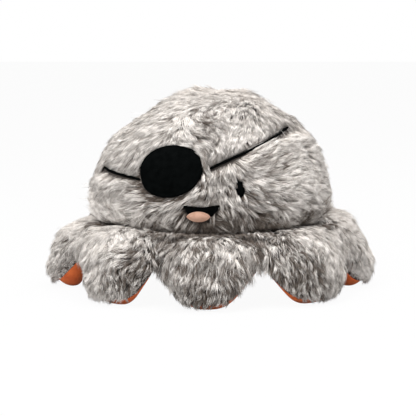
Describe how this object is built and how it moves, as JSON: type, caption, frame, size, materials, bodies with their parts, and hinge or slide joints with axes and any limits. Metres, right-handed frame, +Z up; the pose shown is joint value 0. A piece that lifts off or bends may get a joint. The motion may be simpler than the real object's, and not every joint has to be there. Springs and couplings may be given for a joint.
{
  "type": "plush dog toy",
  "caption": "Reversible stuffed octopus dog toy with an eye patch, flexing tentacles, a squeaker and a ribbed orange pumpkin pocket underneath.",
  "frame": {"origin": "on the floor under the middle of the toy", "axes": "+Z up, the face looks along -Y, +X to the right of someone who looks at the face"},
  "size_m": [0.2128, 0.2128, 0.1315],
  "materials": {
    "grey_plush": "long frosted rabbit pile, dark at the root",
    "orange_velour": "short dense velour pile",
    "fibrefill": "matted polyester fibre",
    "black_felt": "brushed felt and thread",
    "peach_felt": "brushed felt",
    "squeaker_vinyl": "blow-moulded, satin",
    "whistle_plastic": "injection-moulded, satin"
  },
  "bodies": {
    "body": {"head_panel_front_right": "grey_plush", "head_panel_right": "grey_plush", "head_panel_back_right": "grey_plush", "head_panel_back_left": "grey_plush", "head_panel_left": "grey_plush", "head_panel_front_left": "grey_plush", "skirt_cover": "grey_plush", "pumpkin_panel_1": "orange_velour", "pumpkin_panel_2": "orange_velour", "pumpkin_panel_3": "orange_velour", "pumpkin_panel_4": "orange_velour", "pumpkin_panel_5": "orange_velour", "pumpkin_panel_6": "orange_velour", "pumpkin_panel_7": "orange_velour", "pumpkin_panel_8": "orange_velour", "skirt_lining": "orange_velour", "head_fill": "fibrefill", "skirt_fill": "fibrefill", "eye_patch": "black_felt", "patch_strap_left": "black_felt", "patch_strap_right": "black_felt", "eye": "black_felt", "mouth": "black_felt", "tongue": "peach_felt", "squeaker_bulb": "squeaker_vinyl", "squeaker_whistle": "whistle_plastic", "squeaker_reed": "whistle_plastic"},
    "tentacle_1": {"tentacle_1_cover": "grey_plush", "tentacle_1_lining": "orange_velour", "tentacle_1_fill": "fibrefill"},
    "tentacle_2": {"tentacle_2_cover": "grey_plush", "tentacle_2_lining": "orange_velour", "tentacle_2_fill": "fibrefill"},
    "tentacle_3": {"tentacle_3_cover": "grey_plush", "tentacle_3_lining": "orange_velour", "tentacle_3_fill": "fibrefill"},
    "tentacle_4": {"tentacle_4_cover": "grey_plush", "tentacle_4_lining": "orange_velour", "tentacle_4_fill": "fibrefill"},
    "tentacle_5": {"tentacle_5_cover": "grey_plush", "tentacle_5_lining": "orange_velour", "tentacle_5_fill": "fibrefill"},
    "tentacle_6": {"tentacle_6_cover": "grey_plush", "tentacle_6_lining": "orange_velour", "tentacle_6_fill": "fibrefill"},
    "tentacle_7": {"tentacle_7_cover": "grey_plush", "tentacle_7_lining": "orange_velour", "tentacle_7_fill": "fibrefill"},
    "tentacle_8": {"tentacle_8_cover": "grey_plush", "tentacle_8_lining": "orange_velour", "tentacle_8_fill": "fibrefill"}
  },
  "joints": [
    {"name": "tentacle_1_flex", "type": "hinge", "parent": "body", "child": "tentacle_1", "pos_m": [0, -0.082, 0.045], "axis": [-1, 0, 0], "range_deg": [0, 65], "stiffness_Nm_per_rad": 0.12},
    {"name": "tentacle_2_flex", "type": "hinge", "parent": "body", "child": "tentacle_2", "pos_m": [0.05798, -0.05798, 0.045], "axis": [-0.7071, -0.7071, 0], "range_deg": [0, 65], "stiffness_Nm_per_rad": 0.12},
    {"name": "tentacle_3_flex", "type": "hinge", "parent": "body", "child": "tentacle_3", "pos_m": [0.082, 0, 0.045], "axis": [0, -1, 0], "range_deg": [0, 65], "stiffness_Nm_per_rad": 0.12},
    {"name": "tentacle_4_flex", "type": "hinge", "parent": "body", "child": "tentacle_4", "pos_m": [0.05798, 0.05798, 0.045], "axis": [0.7071, -0.7071, 0], "range_deg": [0, 65], "stiffness_Nm_per_rad": 0.12},
    {"name": "tentacle_5_flex", "type": "hinge", "parent": "body", "child": "tentacle_5", "pos_m": [0, 0.082, 0.045], "axis": [1, 0, 0], "range_deg": [0, 65], "stiffness_Nm_per_rad": 0.12},
    {"name": "tentacle_6_flex", "type": "hinge", "parent": "body", "child": "tentacle_6", "pos_m": [-0.05798, 0.05798, 0.045], "axis": [0.7071, 0.7071, 0], "range_deg": [0, 65], "stiffness_Nm_per_rad": 0.12},
    {"name": "tentacle_7_flex", "type": "hinge", "parent": "body", "child": "tentacle_7", "pos_m": [-0.082, 0, 0.045], "axis": [0, 1, 0], "range_deg": [0, 65], "stiffness_Nm_per_rad": 0.12},
    {"name": "tentacle_8_flex", "type": "hinge", "parent": "body", "child": "tentacle_8", "pos_m": [-0.05798, -0.05798, 0.045], "axis": [-0.7071, 0.7071, 0], "range_deg": [0, 65], "stiffness_Nm_per_rad": 0.12}
  ]
}
